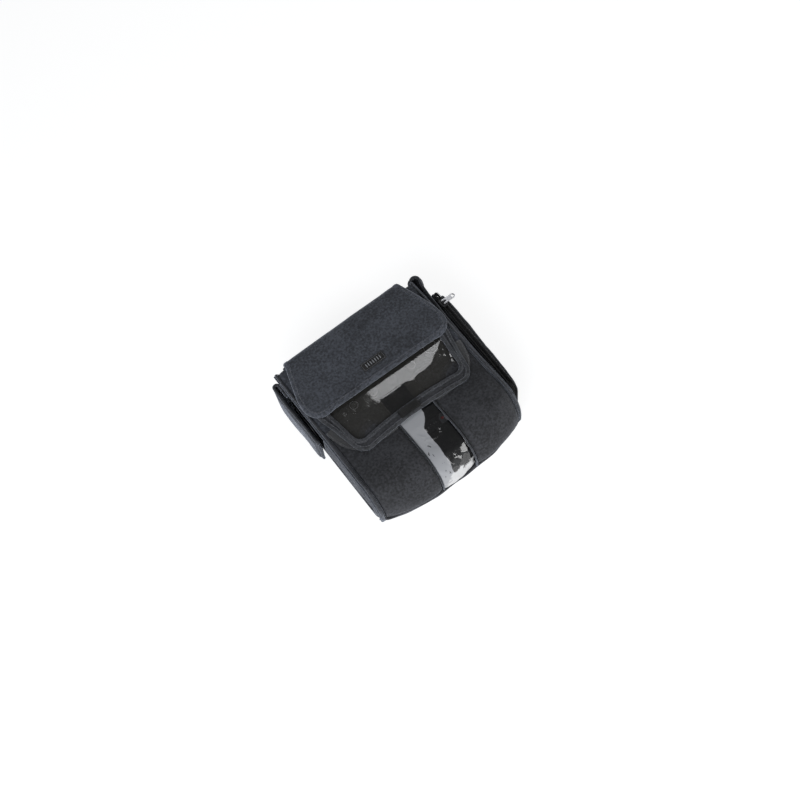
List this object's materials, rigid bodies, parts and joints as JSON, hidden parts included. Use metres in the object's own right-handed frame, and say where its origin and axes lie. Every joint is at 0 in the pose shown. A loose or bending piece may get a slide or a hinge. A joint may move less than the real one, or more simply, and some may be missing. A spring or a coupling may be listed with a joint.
{
  "type": "portable field recorder in carrying case",
  "caption": "Padded soft case lying on its back, with a hem-edged main flap over a clear-window flap, side flaps and a zipped pocket, and a portable audio recorder inside.",
  "frame": {"origin": "on the outer face of the case's back panel, on its centre line, 2 mm towards the rounded end from the middle of its length", "axes": "+X to the right as seen from the front, +Y towards the hinge end, +Z out of the front"},
  "size_m": [0.217, 0.209, 0.0782],
  "materials": {
    "case_nylon": "bluish charcoal woven nylon over thin foam",
    "panel_nylon": "darker charcoal woven nylon over thick padding",
    "black_webbing": "black woven trim, piping and pocket cloth",
    "foam": "black closed-cell foam",
    "clear_vinyl": "soft clear vinyl sheet, glossy",
    "black_metal": "satin black",
    "black_plastic": "matt black",
    "grey_plastic": "matt dark grey",
    "silver": "bright nickel plate",
    "board_green": "solder-mask green",
    "cell_wrap": "plain shrink wrap"
  },
  "bodies": {
    "case": {"back_panel": "case_nylon", "left_side_wall": "case_nylon", "right_side_wall": "case_nylon", "top_wall": "case_nylon", "left_front_border": "case_nylon", "right_front_border": "case_nylon", "flap_hinge_band": "case_nylon", "bottom_wall": "panel_nylon", "left_front_panel": "panel_nylon", "right_front_panel": "panel_nylon", "left_seam_piping": "black_webbing", "right_seam_piping": "black_webbing", "left_corner_tab": "black_webbing", "right_corner_tab": "black_webbing", "closure_band": "black_webbing", "base_foam": "foam", "strip_window": "clear_vinyl", "display_lens": "clear_vinyl", "recorder_chassis": "black_metal", "recorder_base_cover": "black_metal", "input_socket_1": "black_metal", "input_socket_2": "black_metal", "input_socket_3": "black_metal", "input_socket_4": "black_metal", "recorder_top_panel": "black_plastic", "battery_holder": "black_plastic", "display_module": "grey_plastic", "storage_drive": "silver", "main_circuit_board": "board_green", "battery_cell_1": "cell_wrap", "battery_cell_2": "cell_wrap", "battery_cell_3": "cell_wrap", "battery_cell_4": "cell_wrap", "battery_cell_5": "cell_wrap", "battery_cell_6": "cell_wrap", "battery_cell_7": "cell_wrap", "battery_cell_8": "cell_wrap"},
    "main_flap": {"main_flap": "case_nylon", "main_flap_binding": "case_nylon"},
    "window_flap": {"window_flap_frame": "panel_nylon", "window_pane": "clear_vinyl", "hook_patch": "black_webbing"},
    "left_side_flap": {"left_side_flap": "case_nylon"},
    "right_side_flap": {"right_side_flap": "black_webbing", "pocket_tray": "black_webbing"},
    "pocket_lid": {"pocket_lid": "black_webbing"},
    "zip_slider": {"zip_slider": "silver"},
    "zip_pull": {"zip_pull": "silver"},
    "jog_dial": {"jog_dial": "black_plastic"},
    "power_switch": {"power_switch": "grey_plastic"},
    "level_knob_1": {"level_knob_1": "black_plastic"},
    "level_knob_2": {"level_knob_2": "black_plastic"},
    "level_knob_3": {"level_knob_3": "black_plastic"},
    "level_knob_4": {"level_knob_4": "black_plastic"},
    "rewind_key": {"rewind_key": "grey_plastic"},
    "stop_key": {"stop_key": "grey_plastic"},
    "play_key": {"play_key": "grey_plastic"},
    "forward_key": {"forward_key": "grey_plastic"},
    "record_key": {"record_key": "grey_plastic"}
  },
  "joints": [
    {"name": "main_flap_lift", "type": "hinge", "parent": "case", "child": "main_flap", "pos_m": [0, 0.101, 0.0732], "axis": [-1, 0, 0], "range_deg": [0, 180]},
    {"name": "window_flap_lift", "type": "hinge", "parent": "case", "child": "window_flap", "pos_m": [0, 0.101, 0.0732], "axis": [-1, 0, 0], "range_deg": [0, 108]},
    {"name": "left_side_flap_swing", "type": "hinge", "parent": "case", "child": "left_side_flap", "pos_m": [-0.0944, 0.098, 0.033], "axis": [0, 0, -1], "range_deg": [0, 110]},
    {"name": "right_side_flap_swing", "type": "hinge", "parent": "case", "child": "right_side_flap", "pos_m": [0.0956, 0.105, 0.033], "axis": [0, 0, 1], "range_deg": [0, 100]},
    {"name": "zip_travel", "type": "slide", "parent": "right_side_flap", "child": "zip_slider", "axis": [-0.0486, -0.9988, 0], "range_m": [0, 0.114]},
    {"name": "pocket_open", "type": "hinge", "parent": "right_side_flap", "child": "pocket_lid", "pos_m": [0.1, 0.01, 0.01], "axis": [0.0486, 0.9988, 0], "range_deg": [0, 30]},
    {"name": "zip_pull_swing", "type": "hinge", "parent": "zip_slider", "child": "zip_pull", "pos_m": [0.10262, 0.064, 0.05825], "axis": [0, -1, 0], "range_deg": [0, 150]},
    {"name": "level_knob_1_turn", "type": "hinge", "parent": "case", "child": "level_knob_1", "pos_m": [-0.044, 0.02, 0.0635], "axis": [0, 0, -1], "range_deg": [-150, 150]},
    {"name": "level_knob_2_turn", "type": "hinge", "parent": "case", "child": "level_knob_2", "pos_m": [-0.02, 0.02, 0.0635], "axis": [0, 0, -1], "range_deg": [-150, 150]},
    {"name": "level_knob_3_turn", "type": "hinge", "parent": "case", "child": "level_knob_3", "pos_m": [0.004, 0.02, 0.0635], "axis": [0, 0, -1], "range_deg": [-150, 150]},
    {"name": "level_knob_4_turn", "type": "hinge", "parent": "case", "child": "level_knob_4", "pos_m": [0.028, 0.02, 0.0635], "axis": [0, 0, -1], "range_deg": [-150, 150]},
    {"name": "jog_dial_spin", "type": "hinge", "parent": "case", "child": "jog_dial", "pos_m": [0.056, 0.024, 0.0635], "axis": [0, 0, -1], "continuous": true},
    {"name": "rewind_key_press", "type": "slide", "parent": "case", "child": "rewind_key", "axis": [0, 0, -1], "range_m": [0, 0.0012], "stiffness_N_per_m": 400, "springref_m": -0.0005},
    {"name": "stop_key_press", "type": "slide", "parent": "case", "child": "stop_key", "axis": [0, 0, -1], "range_m": [0, 0.0012], "stiffness_N_per_m": 400, "springref_m": -0.0005},
    {"name": "play_key_press", "type": "slide", "parent": "case", "child": "play_key", "axis": [0, 0, -1], "range_m": [0, 0.0012], "stiffness_N_per_m": 400, "springref_m": -0.0005},
    {"name": "forward_key_press", "type": "slide", "parent": "case", "child": "forward_key", "axis": [0, 0, -1], "range_m": [0, 0.0012], "stiffness_N_per_m": 400, "springref_m": -0.0005},
    {"name": "record_key_press", "type": "slide", "parent": "case", "child": "record_key", "axis": [0, 0, -1], "range_m": [0, 0.0012], "stiffness_N_per_m": 400, "springref_m": -0.0005},
    {"name": "power_switch_slide", "type": "slide", "parent": "case", "child": "power_switch", "axis": [0, 1, 0], "range_m": [0, 0.0072]}
  ],
  "couplings": [
    {"joint": "window_flap_lift", "follows": "main_flap_lift", "ratio": 0.6},
    {"joint": "pocket_open", "follows": "zip_travel", "rad_per_m": 4.593}
  ]
}
